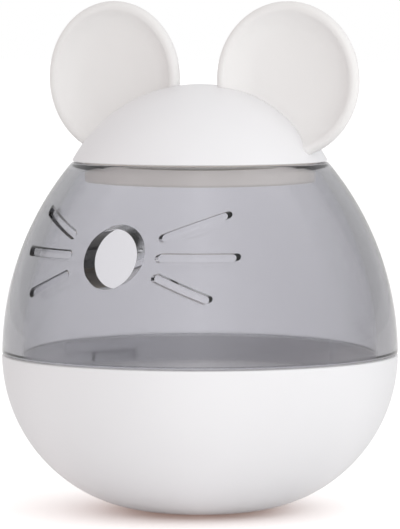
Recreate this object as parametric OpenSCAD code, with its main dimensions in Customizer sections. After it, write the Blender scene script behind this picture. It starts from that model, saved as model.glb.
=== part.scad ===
// Tumbling slow feeder for cats: a weighted bowl-shaped base, a smoke-tinted hopper with a round
// outlet between whisker grooves, and a push-fit domed lid that two dished ears snap into.
// Millimetres, +Z up. The origin is on the table under the middle and the outlet faces -Y.

/* [Body] */
// Largest diameter, at the seam between base and hopper
body_d = 100; // [94:1:110]
// Height of the seam between base and hopper
base_h = 40; // [38:0.5:44]
// Height of the seam between hopper and lid
lid_seam_h = 88.4; // [85:0.2:91]
// Open gap that shows at each outside seam
seam_gap = 0.3; // [0.2:0.05:0.5]
// Clearance between pieces that slide or turn in each other
fit_gap = 0.3; // [0.2:0.05:0.4]
// Clearance between pieces that seat on each other
seat_gap = 0.1; // [0.05:0.01:0.2]

/* [Base] */
// Radius of the round bottom that the feeder rocks on
rock_r = 110; // [95:1:140]
// Diameter of the flat spot that it stands on
foot_d = 16; // [12:0.5:20]
// Wall of the bowl
bowl_wall = 2.5; // [2:0.1:3]
// Wall of the bowl's rim, round the twist lock
rim_wall = 3.1; // [2.8:0.1:3.5]
// Thickness of the hopper floor
floor_t = 2; // [1.6:0.1:3]
// Depth of the webs under the hopper floor
web_h = 3; // [2:0.5:5]
// Thickness of the webs and of the ribs that carry the floor
rib_t = 2; // [1.6:0.1:2.5]
// Reach of each floor rib in from the rim
rib_reach = 4; // [3:0.5:6]
// Distance between the floor ribs and the ends of the webs
web_inset = 6; // [4:0.5:10]
// Diameter of the ring under the middle of the hopper floor
hub_d = 20; // [14:1:30]

/* [Counterweight] */
// Diameter of the iron weight
weight_d = 56; // [46:1:58]
// Thickness of the iron weight
weight_h = 8; // [6:0.5:10]
// Bevel along both edges of the weight
weight_bevel = 1.5; // [1:0.1:2]
// Height of the bosses that the weight is screwed down on
boss_z = 8.5; // [7.5:0.5:10]
// Diameter of each boss
boss_d = 9; // [7:0.5:10]
// Diameter of the circle that the weight's screws stand on
boss_pcd = 36; // [30:1:40]

/* [Twist lock] */
// Length of the spigot under the hopper
spigot_h = 6; // [5.5:0.1:7]
// How far each lug stands out from the spigot
lug_proud = 1.3; // [0.9:0.1:1.5]
// Height of each lug
lug_h = 2.2; // [1.6:0.1:2.6]
// Height of the lugs' undersides above the spigot's end
lug_lift = 0.6; // [0.4:0.1:1]
// Angle that each lug covers
lug_deg = 16; // [10:1:22]
// Angle from locked to free
twist_deg = 30; // [20:1:40]

/* [Hopper] */
// Radius of the hopper's outside curve, seen from the side
hopper_r = 75; // [70:1:82]
// Wall of the hopper at the base seam
hopper_wall = 5.2; // [4.8:0.1:6]
// How much larger the radius of the inside curve is than the outside one
inside_extra_r = 2; // [0:0.5:4]
// Level wall of the neck at the lid seam
neck_wall = 3; // [2.6:0.1:3.6]
// Height of the straight part of the neck
neck_land = 2.4; // [2.2:0.1:3]
// Height of the slope that leads into the neck
neck_slope = 0.8; // [0.6:0.1:1.2]
// Diameter of the outlet
outlet_d = 14.5; // [12:0.5:17]
// Height of the outlet's centre above the base seam
outlet_rise = 26.3; // [22:0.1:30]

/* [Whisker grooves] */
// Width of a groove
groove_w = 2; // [1.4:0.1:2.6]
// Depth of a groove
groove_depth = 1.5; // [0.8:0.1:2.2]
// Height of the middle grooves above the outlet's centre
groove_lift = 0.5; // [0:0.1:1]
// Distance of the grooves' inner tips from the outlet's centre line
groove_start = 11.8; // [10.5:0.1:13]
// Height step between the inner tips
groove_step = 4.4; // [3.5:0.1:5.5]
// Angle between neighbouring grooves
groove_fan = 23.5; // [15:0.5:30]
// Length of the middle groove
groove_long = 17.4; // [14:0.1:19]
// Length of the upper and lower grooves
groove_short = 14.6; // [10:0.1:16]

/* [Lid] */
// Height of the dome above the lid seam
dome_h = 19.3; // [17:0.1:23]
// Wall of the dome
lid_wall = 2.2; // [1.8:0.1:2.8]
// How far the plug reaches down into the neck
plug_h = 6.2; // [5:0.1:7]
// Wall of the plug's skirt
skirt_t = 2.4; // [2.2:0.1:3]
// Thickness of the plug's disc and flange
flange_t = 1.8; // [1.4:0.1:2.4]
// How far the flange stands out over the neck's bore
flange_lip = 0.6; // [0.4:0.1:0.8]
// Thickness of the sealing ring
seal_d = 1.6; // [1.2:0.1:1.9]
// Diameter of the posts that the plug is screwed to
post_d = 6.4; // [5:0.1:7]
// Distance of the posts in from the skirt
post_inset = 6.6; // [6:0.1:8]

/* [Ears] */
// Diameter of an ear
ear_d = 39; // [34:0.5:43]
// Distance between the centres of the ears
ear_span = 50; // [46:0.5:54]
// Height of the ears' centres above the top of the dome
ear_rise = 1.3; // [0:0.1:3]
// Thickness of an ear, rounded over at its rim
ear_t = 2.8; // [2.6:0.1:3.2]
// Radius of the bend between the wall and the floor of the dish
ear_bend_r = 12; // [10:0.5:14]
// Slope of the dish's wall at the rim, in degrees
ear_wall_deg = 50; // [45:1:60]
// Radius of the dish's floor
ear_floor_r = 70; // [60:1:90]
// Diameter of the flat in the middle of the dish, front and back
ear_flat_d = 4; // [2:0.5:6]
// Angle that each ear is turned outwards
ear_splay = 2.5; // [0:0.5:5]
// Width of the snap tongue under an ear
tongue_w = 10; // [8:0.5:11]
// Thickness of the snap tongue
tongue_t = 2; // [1.6:0.1:2.1]
// How far each barb stands out from its tongue
barb = 0.8; // [0.5:0.1:1.1]
// Length of the barbs
barb_h = 2.4; // [1.8:0.1:3]
// Diameter of the pad that the tongue passes through
pad_d = 16; // [14:0.5:18]
// Thickness that the pad adds to the dome
pad_t = 1.6; // [1:0.1:2.4]

/* [Screws] */
// Diameter of the self-tapping screws
screw_d = 2.8; // [2.2:0.1:3]
// Diameter of their heads
head_d = 5.4; // [4.6:0.1:6]
// Height of their heads
head_h = 1.8; // [1.4:0.1:2.2]
// How far they bite into a boss or post
screw_bite = 4.5; // [3.5:0.1:5]

/* [Hidden] */
$fn = 160;
// Length that a cutting shape runs past what it cuts
past = 1;

shell_white = [0.94, 0.94, 0.95];
ear_white = [0.92, 0.91, 0.91];
smoke = [0.52, 0.52, 0.55, 0.55];
iron = "dimgray";
zinc = "silver";
silicone = "gainsboro";

// Bowl: the round bottom runs into a corner arc that is upright at the seam
body_r = body_d / 2;
rock_z = sqrt(pow(rock_r, 2) - pow(foot_d / 2, 2));
corner_r = (pow(rock_r, 2) - pow(body_r, 2) - pow(rock_z - base_h, 2)) / (2 * (rock_r - body_r));
corner_x = body_r - corner_r;
corner_angle = atan2(base_h - rock_z, corner_x);
rim_in_r = body_r - rim_wall;

// Twist lock and the floor under it
spigot_r = rim_in_r - fit_gap;
spigot_z = base_h - spigot_h;
lug_z = spigot_z + lug_lift;
lug_r = spigot_r + lug_proud;
lug_count = 3;
// Angle of the first lug, in a plan view
lug_from = 30;
// Angle that a channel leaves free on each side of its lug
lug_slack_deg = 1;
floor_z = spigot_z - fit_gap - floor_t;
rib_count = 6;
web_r = rim_in_r - rib_reach - web_inset;

// Screws, in the weight and in the plug
screw_count = 3;
// Angle of the first screw, in a plan view
screw_from = 90;
head_sink = head_h + seat_gap;

// Hopper
hopper_z = base_h + seam_gap;
hopper_in_r = body_r - hopper_wall;
inside_r = hopper_r + inside_extra_r;
top_r = body_r - hopper_r + sqrt(pow(hopper_r, 2) - pow(lid_seam_h - base_h, 2));
neck_r = top_r - neck_wall;
neck_z = lid_seam_h - neck_land;
outlet_z = base_h + outlet_rise;

// Lid
lid_z = lid_seam_h + seam_gap;
dome_r = (pow(top_r, 2) + pow(dome_h, 2)) / (2 * dome_h);
dome_z = lid_z + dome_h - dome_r;
skirt_r = neck_r - fit_gap;
skirt_in_r = skirt_r - skirt_t;
skirt_z = lid_seam_h - plug_h;
flange_r = neck_r + flange_lip;
seal_r = neck_r - seat_gap - seal_d / 2;
seal_z = lid_seam_h - neck_land / 2;
seal_groove_r = seal_r - seal_d / 2 - seat_gap / 2;
seal_groove_h = seal_d + 2 * seat_gap;
// Bevel that leads the skirt into the neck
lead_in = 0.5;
post_r = skirt_in_r - post_inset;
post_z = lid_z + flange_t;

// Ears: a dished round shell, with its tongue pointing at the middle of the dome
ear_z = lid_z + dome_h + ear_rise;
ear_rim_r = (ear_d - ear_t) / 2;
ear_bend_x = ear_rim_r - ear_bend_r * sin(ear_wall_deg);
ear_bend_y = ear_bend_r * cos(ear_wall_deg);
// Slope where the floor of the dish runs into the bend
ear_floor_deg = asin(ear_bend_x / (ear_floor_r - ear_bend_r));
ear_floor_y = ear_bend_y + (ear_floor_r - ear_bend_r) * cos(ear_floor_deg);
ear_reach = norm([ear_span / 2, ear_z - dome_z]) - dome_r;
tongue_angle = atan2(dome_z - ear_z, -ear_span / 2);
tongue_depth = -dish_at(ear_reach, 0);
// Overlap of the tongue with its ear
tongue_root = 0.5;
tongue_start = ear_reach - tongue_root;
pad_end = ear_reach + lid_wall + pad_t;
barb_start = pad_end + seat_gap;
barb_end = barb_start + barb_h;
slit_w = 2 * (barb + fit_gap);

// Radius of the hopper's inside curve at a height
function inside_at(z) = hopper_in_r - inside_r + sqrt(pow(inside_r, 2) - pow(z - base_h, 2));

// Level of the dish's floor at a distance from its middle, on a surface that lies behind its mid-surface
function dish_at(x, behind) = ear_floor_y - sqrt(pow(ear_floor_r + behind, 2) - pow(x, 2));

// Sector of a disc between two angles, with its point at the origin
module pie(r, from, to) {
    steps = 4;
    intersection() {
        circle(r);
        polygon([
            [0, 0],
            for (k = [0:steps])
                let (a = from + (to - from) * k / steps)
                2 * r * [cos(a), sin(a)]
        ]);
    }
}

// Slot with round ends from the origin along +X
module slot(length, width) {
    r = width / 2;
    translate([r, 0]) pie(r, 90, 270);
    translate([r, -r]) square([length - width, width]);
    translate([length - r, 0]) pie(r, -90, 90);
}

// Part of a ring with a rectangular section, between two angles
module ring_part(r_in, r_out, z, h, from, to) {
    rotate([0, 0, from])
        rotate_extrude(angle = to - from)
            translate([r_in, z]) square([r_out - r_in, h]);
}

// Pan-head screw with its shank along +Z and the underside of its head on z = 0
module screw(length) {
    cylinder(d = screw_d, h = length);
    translate([0, 0, -head_h]) cylinder(d = head_d, h = head_h);
}

// Half section of the bowl's outside, drawn in by an inset and cut level at that height and at the top.
// The two arcs meet on a line through both centres, which is drawn upright and then turned.
module bowl_section(inset, top) {
    intersection() {
        translate([corner_x, base_h]) rotate(corner_angle + 90) union() {
            translate([0, rock_r - corner_r]) pie(rock_r - inset, -180, -90);
            pie(corner_r - inset, -90, 0);
        }
        translate([0, inset]) square([body_r, top - inset]);
    }
}

module at_weight_screws() {
    for (k = [0:screw_count - 1])
        rotate([0, 0, screw_from + 360 / screw_count * k]) translate([boss_pcd / 2, 0, 0]) children();
}

module floor_ribs() {
    for (k = [0:rib_count - 1])
        rotate([0, 0, 360 / rib_count * k])
            translate([rim_in_r - rib_reach, -rib_t / 2, 0])
                cube([rib_reach + bowl_wall, rib_t, floor_z]);
}

module weight_bosses() {
    at_weight_screws() cylinder(d = boss_d, h = boss_z);
}

// Level channel for one lug, with an upright way in at its far end
module lock_channel() {
    r = lug_r + fit_gap;
    z = lug_z - fit_gap;
    half_deg = lug_deg / 2 + lug_slack_deg;
    way_deg = (lug_deg + lug_slack_deg) / 2;
    ring_part(rim_in_r - past, r, z, lug_h + 2 * fit_gap, -half_deg, twist_deg + half_deg);
    ring_part(rim_in_r - past, r, lug_z, base_h, twist_deg - way_deg, twist_deg + way_deg);
}

module at_lugs() {
    for (k = [0:lug_count - 1]) rotate([0, 0, lug_from + 360 / lug_count * k]) children();
}

module base_bowl() {
    color(shell_white) difference() {
        union() {
            difference() {
                rotate_extrude() bowl_section(0, base_h);
                rotate_extrude() bowl_section(bowl_wall, floor_z);
                translate([0, 0, floor_z]) cylinder(r = rim_in_r, h = base_h);
            }
            intersection() {
                rotate_extrude() bowl_section(bowl_wall / 2, floor_z);
                union() {
                    floor_ribs();
                    weight_bosses();
                }
            }
        }
        at_weight_screws() translate([0, 0, boss_z - screw_bite])
            cylinder(d = screw_d + seat_gap, h = screw_bite + past);
        at_lugs() lock_channel();
    }
}

module counterweight() {
    r = weight_d / 2;
    color(iron) translate([0, 0, boss_z]) difference() {
        rotate_extrude() polygon([
            [0, 0], [r - weight_bevel, 0], [r, weight_bevel],
            [r, weight_h - weight_bevel], [r - weight_bevel, weight_h], [0, weight_h]
        ]);
        at_weight_screws() {
            translate([0, 0, -past]) cylinder(d = screw_d + 2 * fit_gap, h = weight_h + 2 * past);
            translate([0, 0, weight_h - head_sink]) cylinder(d = head_d + 2 * fit_gap, h = head_sink + past);
        }
    }
}

module weight_screws() {
    seat = boss_z + weight_h - head_sink;
    color(zinc) at_weight_screws() translate([0, 0, seat]) mirror([0, 0, 1])
        screw(seat - boss_z + screw_bite - seat_gap);
}

// Flat plate with a ring and radial webs underneath
module hopper_floor() {
    color(shell_white) {
        translate([0, 0, floor_z]) cylinder(r = rim_in_r - fit_gap, h = floor_t);
        translate([0, 0, floor_z - web_h]) difference() {
            union() {
                cylinder(d = hub_d, h = web_h + floor_t / 2);
                for (k = [0:rib_count - 1])
                    rotate([0, 0, 360 / rib_count * k])
                        translate([0, -rib_t / 2, 0]) cube([web_r, rib_t, web_h + floor_t / 2]);
            }
            translate([0, 0, -past]) cylinder(d = hub_d - 2 * rib_t, h = web_h + past);
        }
    }
}

// Half section of the hollow inside the hopper
module hopper_void() {
    slope_z = neck_z - neck_slope;
    translate([0, spigot_z - past]) square([hopper_in_r, base_h - spigot_z + past]);
    intersection() {
        translate([hopper_in_r - inside_r, base_h]) circle(inside_r);
        translate([0, base_h]) square([body_r, slope_z - base_h]);
    }
    polygon([[0, slope_z], [inside_at(slope_z), slope_z], [neck_r, neck_z], [0, neck_z]]);
    translate([0, neck_z]) square([neck_r, neck_land + past]);
}

// Half section of the hopper's outside, drawn in by an inset
module hopper_outside(inset) {
    intersection() {
        translate([body_r - hopper_r, base_h]) circle(hopper_r - inset);
        translate([0, hopper_z]) square([body_r, lid_seam_h - hopper_z]);
    }
}

// Three grooves fan out on each side of the outlet
module whisker_slots() {
    for (side = [0, 1], row = [-1, 0, 1])
        mirror([side, 0])
            translate([groove_start, outlet_z + groove_lift + row * groove_step])
                rotate(row * groove_fan)
                    slot(row == 0 ? groove_long : groove_short, groove_w);
}

module hopper_shell() {
    color(smoke) difference() {
        union() {
            rotate_extrude() hopper_outside(0);
            translate([0, 0, spigot_z]) cylinder(r = spigot_r, h = spigot_h + seam_gap + past);
            at_lugs() ring_part(spigot_r - past, lug_r, lug_z, lug_h, -lug_deg / 2, lug_deg / 2);
        }
        rotate_extrude() hopper_void();
        translate([0, 0, outlet_z]) rotate([90, 0, 0]) cylinder(d = outlet_d, h = body_d);
        difference() {
            rotate([90, 0, 0]) linear_extrude(body_d) whisker_slots();
            rotate_extrude() hopper_outside(groove_depth);
        }
    }
}

module at_posts() {
    for (k = [0:screw_count - 1])
        rotate([0, 0, screw_from + 360 / screw_count * k]) translate([post_r, 0, 0]) children();
}

// Frame of the right ear: X outwards, Y up and Z to the front; the left one is its mirror image
module at_right_ear() {
    translate([ear_span / 2, 0, ear_z]) rotate([0, 0, ear_splay]) rotate([90, 0, 0]) children();
}

// Frame of a tongue: X along it and Z to the front, with the origin under the ear's centre
module at_tongue() {
    translate([0, 0, -tongue_depth]) rotate([0, 0, tongue_angle]) children();
}

module at_tongue_slots() {
    for (side = [0, 1]) mirror([side, 0, 0]) at_right_ear() at_tongue() children();
}

// Full ball of the dome, drawn in by an inset, with the ball's own seam turned to the front
module dome_ball(inset) {
    translate([0, 0, dome_z]) rotate([0, 0, -90]) sphere(r = dome_r - inset);
}

module lid_dome() {
    slot_w = tongue_w + 2 * fit_gap;
    slot_t = tongue_t + 2 * fit_gap;
    color(shell_white) difference() {
        union() {
            rotate_extrude() intersection() {
                translate([0, dome_z]) difference() {
                    circle(dome_r);
                    circle(dome_r - lid_wall);
                }
                translate([0, lid_z]) square([body_r, 2 * dome_h]);
            }
            intersection() {
                dome_ball(lid_wall / 2);
                union() {
                    at_posts() translate([0, 0, post_z]) cylinder(d = post_d, h = dome_h);
                    at_tongue_slots() rotate([0, 90, 0]) cylinder(d = pad_d, h = pad_end);
                }
            }
        }
        translate([0, 0, lid_z - past]) cylinder(r = flange_r + fit_gap, h = flange_t + past);
        at_posts() translate([0, 0, post_z - past]) cylinder(d = screw_d + seat_gap, h = screw_bite + past);
        at_tongue_slots() translate([0, -slot_w / 2, -slot_t / 2]) cube([pad_end + past, slot_w, slot_t]);
    }
}

// Disc with a flange inside the dome's edge and a grooved skirt down into the neck
module lid_plug() {
    groove_low = seal_z - seal_groove_h / 2;
    groove_high = seal_z + seal_groove_h / 2;
    color(shell_white) difference() {
        rotate_extrude() polygon([
            [0, lid_z], [skirt_in_r, lid_z], [skirt_in_r, skirt_z],
            [skirt_r - lead_in, skirt_z], [skirt_r, skirt_z + lead_in],
            [skirt_r, groove_low], [seal_groove_r, groove_low],
            [seal_groove_r, groove_high], [skirt_r, groove_high],
            [skirt_r, lid_z], [flange_r, lid_z], [flange_r, post_z], [0, post_z]
        ]);
        at_posts() translate([0, 0, lid_z - past])
            cylinder(d = screw_d + 2 * fit_gap, h = flange_t + 2 * past);
    }
}

module lid_seal() {
    color(silicone) rotate_extrude() translate([seal_r, seal_z]) circle(d = seal_d);
}

module plug_screws() {
    color(zinc) at_posts() translate([0, 0, lid_z]) screw(flange_t + screw_bite - seat_gap);
}

// Quarter of a ring as thick as an ear, between two angles, about the origin
module ear_arc(r, from, to) {
    difference() {
        pie(r + ear_t / 2, from, to);
        circle(r - ear_t / 2);
    }
}

// Half section of the dish: a shallow floor, a bend and a round rim, of even thickness, with a small flat
// in the middle. Each two pieces meet on a line that is drawn upright and then turned.
module ear_section() {
    intersection() {
        union() {
            translate([ear_rim_r, 0]) rotate(ear_wall_deg) union() {
                intersection() {
                    translate([0, ear_bend_r]) rotate(ear_floor_deg - ear_wall_deg) union() {
                        translate([0, ear_floor_r - ear_bend_r]) ear_arc(ear_floor_r, -180, -90);
                        ear_arc(ear_bend_r, -90, 0);
                    }
                    translate([-2 * ear_d, -ear_d]) square(2 * ear_d);
                }
                pie(ear_t / 2, -90, 90);
            }
            translate([0, dish_at(ear_flat_d / 2, -ear_t / 2) - ear_t / 2]) square([ear_flat_d, ear_t] / 2);
        }
        translate([0, dish_at(ear_flat_d / 2, ear_t / 2)]) square(ear_d);
    }
}

// Two prongs with barbs that catch behind the pad
module tongue_outline() {
    half = tongue_w / 2;
    slit = slit_w / 2;
    prong = [
        [tongue_start, half], [barb_start, half], [barb_start, half + barb],
        [barb_end, half - barb], [barb_end, slit], [barb_start - pad_t, slit]
    ];
    last = len(prong) - 1;
    polygon(concat(prong, [for (k = [last:-1:0]) [prong[k].x, -prong[k].y]]));
}

module ear() {
    // Its curves run both ways, so they are drawn with fewer facets
    $fn = 72;
    difference() {
        at_right_ear() rotate_extrude() ear_section();
        dome_ball(-seat_gap);
    }
    at_right_ear() at_tongue() translate([0, 0, -tongue_t / 2]) linear_extrude(tongue_t) tongue_outline();
}

module right_ear() {
    color(ear_white) ear();
}

module left_ear() {
    color(ear_white) mirror([1, 0, 0]) ear();
}

base_bowl();
counterweight();
weight_screws();
hopper_floor();
hopper_shell();
lid_dome();
lid_plug();
lid_seal();
plug_screws();
left_ear();
right_ear();
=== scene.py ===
"""Dress a tumbling cat slow feeder for its portrait.

A weighted white bowl carries a smoke-tinted hopper, which has a round outlet between whisker grooves,
and a domed lid with two dished ears plugs the hopper's neck. Sizes are in millimetres, with heights
above the table, unless a name says otherwise. The outlet faces -Y.
"""

import logging
import math
from collections.abc import Callable, Iterable
from dataclasses import dataclass, field
from enum import Enum
from functools import partial

import bmesh
import bpy
from bmesh.types import BMEdge, BMesh, BMFace, BMVert
from bpy.types import Material, Node, NodeSocket, NodeTree, Object
from mathutils import Matrix, Vector

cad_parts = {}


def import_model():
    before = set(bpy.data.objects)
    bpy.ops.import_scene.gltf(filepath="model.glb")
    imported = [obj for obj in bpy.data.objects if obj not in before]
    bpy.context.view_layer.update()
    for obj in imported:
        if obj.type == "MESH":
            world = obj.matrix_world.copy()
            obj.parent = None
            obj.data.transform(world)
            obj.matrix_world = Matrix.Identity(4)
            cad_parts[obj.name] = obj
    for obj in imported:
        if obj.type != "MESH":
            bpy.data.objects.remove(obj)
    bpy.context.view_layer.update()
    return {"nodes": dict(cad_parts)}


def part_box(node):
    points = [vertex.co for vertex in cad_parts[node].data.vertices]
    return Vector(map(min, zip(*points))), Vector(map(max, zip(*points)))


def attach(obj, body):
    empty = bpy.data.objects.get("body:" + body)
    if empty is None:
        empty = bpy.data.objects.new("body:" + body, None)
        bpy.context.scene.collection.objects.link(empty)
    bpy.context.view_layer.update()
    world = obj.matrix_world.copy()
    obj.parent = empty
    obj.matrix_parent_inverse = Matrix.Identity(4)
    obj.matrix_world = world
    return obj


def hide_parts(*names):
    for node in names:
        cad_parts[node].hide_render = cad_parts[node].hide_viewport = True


log = logging.getLogger("feeder")

Pair = tuple[float, float]
"""Two numbers, such as a radius and a height."""

Geometry = list[BMVert | BMEdge | BMFace]
"""Points, edges and faces of a mesh."""

MM = 0.001
"""Metres in a millimetre."""

SHARP_DEG = 28.0
"""Faces that meet at more than this angle keep a sharp edge between them."""

WELD_MM = 0.002
"""Points closer than this are one point."""

ON_RING_MM = 0.01
"""A point nearer to a ring than this is on it."""

ARC_STEP_MM = 0.8
"""Longest step along an arc of a section."""

ARC_STEP_DEG = 7.0
"""Widest turn in a step along an arc of a section."""

RING_STEP_DEG = 1.3
"""Widest step round a part of a ring."""

TURN_STEPS = 320
"""Steps round a large turned piece."""

DOUBLINGS = 4
"""Times that a spun wedge is doubled to fill the turn."""

ROUNDING_STEPS = 4
"""Faces across a rounded edge."""

OVERCUT = 1.0
"""How far a cutter runs past the face that it opens."""


def linear(colour: str) -> tuple[float, float, float, float]:
    """Turn an sRGB hex value into linear light.

    Args:
        colour: Six hex digits, such as F2F1EE.

    Returns:
        Red, green, blue and an alpha of 1.
    """
    shares = [int(colour[k : k + 2], 16) / 255 for k in (0, 2, 4)]
    light = [s / 12.92 if s <= 0.04045 else ((s + 0.055) / 1.055) ** 2.4 for s in shares]
    return (light[0], light[1], light[2], 1.0)


def add_node(tree: NodeTree, kind: str, values: dict | None = None, **settings: object) -> Node:
    """Add a node with its settings, constants and links.

    Args:
        tree: Node tree that gets the node.
        kind: Blender's name for the kind of node.
        values: For each input, by name or number, a constant or the output socket that feeds it.
        **settings: Properties of the node.

    Returns:
        The new node.
    """
    node = tree.nodes.new(kind)
    for key, value in settings.items():
        setattr(node, key, value)
    for key, value in (values or {}).items():
        if isinstance(value, NodeSocket):
            tree.links.new(value, node.inputs[key])
        else:
            node.inputs[key].default_value = value
    return node


def per_metre(size_mm: float) -> float:
    """Scale of a texture whose blobs are about a size across."""
    return 1.0 / (size_mm * MM)


def blank_material(name: str) -> tuple[Material, NodeTree]:
    """Make a material with an empty node tree.

    Args:
        name: Name of the material.

    Returns:
        The material and its node tree.
    """
    material = bpy.data.materials.new(name)
    material.use_nodes = True
    material.node_tree.nodes.clear()
    return material, material.node_tree


@dataclass(frozen=True)
class Mottled:
    """Finish whose colour drifts between two shades."""

    name: str
    light: str
    deep: str
    roughness: float

    def mottle(
        self, tree: NodeTree, kind: str, size_mm: float, detail: float
    ) -> tuple[NodeSocket, NodeSocket]:
        """Mix the two shades by a texture.

        Args:
            tree: Node tree of the material.
            kind: Blender's name for the kind of texture.
            size_mm: Size of the texture's blobs.
            detail: Number of finer layers in it.

        Returns:
            The texture's value and the mixed colour.
        """
        place = add_node(tree, "ShaderNodeTexCoord").outputs["Object"]
        blobs = {"Vector": place, "Scale": per_metre(size_mm), "Detail": detail}
        value = add_node(tree, kind, blobs).outputs[0]
        shades = {"Factor": value, 6: linear(self.light), 7: linear(self.deep)}
        return value, add_node(tree, "ShaderNodeMix", shades, data_type="RGBA").outputs[2]


@dataclass(frozen=True)
class MouldedPlastic(Mottled):
    """Pigmented plastic from a spark-eroded mould: even and satin, with a faint grain and soft gloss.

    The real grain is about 0.1 mm across and is drawn coarser so that it shows.
    """

    grain_mm: float = 0.55
    grain_depth_mm: float = 0.012
    grain_strength: float = 0.35
    cloud_mm: float = 22.0
    gloss_swing: float = 0.05
    ior: float = 1.53

    def build(self) -> Material:
        """Make the material.

        Returns:
            The material.
        """
        material, tree = blank_material(self.name)
        add = partial(add_node, tree)
        _, colour = self.mottle(tree, "ShaderNodeTexNoise", self.cloud_mm, 2.0)
        place = add("ShaderNodeTexCoord").outputs["Object"]
        spots = {"Vector": place, "Scale": per_metre(self.grain_mm), "Detail": 3.0}
        grain = add("ShaderNodeTexNoise", spots).outputs["Fac"]
        low, high = self.roughness - self.gloss_swing, self.roughness + self.gloss_swing
        gloss = add("ShaderNodeMapRange", {"Value": grain, "To Min": low, "To Max": high})
        dents = {"Strength": self.grain_strength, "Distance": self.grain_depth_mm * MM, "Height": grain}
        bump = add("ShaderNodeBump", dents)
        shader = add(
            "ShaderNodeBsdfPrincipled",
            {
                "Base Color": colour,
                "Roughness": gloss.outputs["Result"],
                "Normal": bump.outputs["Normal"],
                "IOR": self.ior,
            },
        )
        add("ShaderNodeOutputMaterial", {"Surface": shader.outputs["BSDF"]})
        return material


@dataclass(frozen=True)
class SmokeClear:
    """Smoke-tinted clear styrene from a polished mould: glossy, and darker where light goes far in it.

    Its wall has slow waves from the mould, and light on its way to the inside isn't bent.
    """

    name: str = "smoke_clear_styrene"
    surface: str = "E8E8EC"
    tint: str = "7C7C84"
    density_per_mm: float = 0.052
    roughness: float = 0.055
    wave_mm: float = 14.0
    wave_depth_mm: float = 0.015
    wave_strength: float = 0.5
    ior: float = 1.57

    def build(self) -> Material:
        """Make the material.

        Returns:
            The material.
        """
        material, tree = blank_material(self.name)
        add = partial(add_node, tree)
        place = add("ShaderNodeTexCoord").outputs["Object"]
        swells = {"Vector": place, "Scale": per_metre(self.wave_mm), "Detail": 1.0}
        waves = add("ShaderNodeTexNoise", swells).outputs["Fac"]
        low, high = 0.5 * self.roughness, 1.5 * self.roughness
        gloss = add("ShaderNodeMapRange", {"Value": waves, "To Min": low, "To Max": high})
        dents = {"Strength": self.wave_strength, "Distance": self.wave_depth_mm * MM, "Height": waves}
        bump = add("ShaderNodeBump", dents)
        shader = add(
            "ShaderNodeBsdfPrincipled",
            {
                "Base Color": linear(self.surface),
                "Roughness": gloss.outputs["Result"],
                "Normal": bump.outputs["Normal"],
                "IOR": self.ior,
                "Transmission Weight": 1.0,
            },
        )
        smoke = {"Color": linear(self.tint), "Density": self.density_per_mm / MM}
        depth = add("ShaderNodeVolumeAbsorption", smoke)
        path = add("ShaderNodeLightPath").outputs
        rays = {0: path["Is Shadow Ray"], 1: path["Is Diffuse Ray"]}
        lighting = add("ShaderNodeMath", rays, operation="MAXIMUM")
        straight = add("ShaderNodeBsdfTransparent")
        both = add(
            "ShaderNodeMixShader", {0: lighting.outputs[0], 1: shader.outputs[0], 2: straight.outputs[0]}
        )
        ends = {"Surface": both.outputs["Shader"], "Volume": depth.outputs["Volume"]}
        add("ShaderNodeOutputMaterial", ends)
        return material


@dataclass(frozen=True)
class ZincPlate(Mottled):
    """Zinc-plated steel: a bluish, softly glossy metal with a fine crystal grain."""

    name: str = "zinc_plated_steel"
    light: str = "C9CBD0"
    deep: str = "A9ADB5"
    roughness: float = 0.34
    crystal_mm: float = 0.4
    gloss_drop: float = 0.06
    gloss_rise: float = 0.1

    def build(self) -> Material:
        """Make the material.

        Returns:
            The material.
        """
        material, tree = blank_material(self.name)
        add = partial(add_node, tree)
        crystals, colour = self.mottle(tree, "ShaderNodeTexVoronoi", self.crystal_mm, 0.0)
        low, high = self.roughness - self.gloss_drop, self.roughness + self.gloss_rise
        gloss = add("ShaderNodeMapRange", {"Value": crystals, "To Min": low, "To Max": high})
        plate = {"Base Color": colour, "Roughness": gloss.outputs["Result"], "Metallic": 1.0}
        shader = add("ShaderNodeBsdfPrincipled", plate)
        add("ShaderNodeOutputMaterial", {"Surface": shader.outputs["BSDF"]})
        return material


@dataclass(frozen=True)
class CastIron(Mottled):
    """Sand-cast iron, tumbled and left bare: dark, grainy and dull, with a breath of rust."""

    name: str = "sand_cast_iron"
    light: str = "5A5856"
    deep: str = "3E3A37"
    roughness: float = 0.62
    metallic: float = 0.8
    sand_mm: float = 0.7
    sand_depth_mm: float = 0.12
    sand_strength: float = 0.8

    def build(self) -> Material:
        """Make the material.

        Returns:
            The material.
        """
        material, tree = blank_material(self.name)
        add = partial(add_node, tree)
        sand, colour = self.mottle(tree, "ShaderNodeTexNoise", self.sand_mm, 4.0)
        dents = {"Strength": self.sand_strength, "Distance": self.sand_depth_mm * MM, "Height": sand}
        bump = add("ShaderNodeBump", dents)
        shader = add(
            "ShaderNodeBsdfPrincipled",
            {
                "Base Color": colour,
                "Roughness": self.roughness,
                "Metallic": self.metallic,
                "Normal": bump.outputs["Normal"],
            },
        )
        add("ShaderNodeOutputMaterial", {"Surface": shader.outputs["BSDF"]})
        return material


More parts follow.
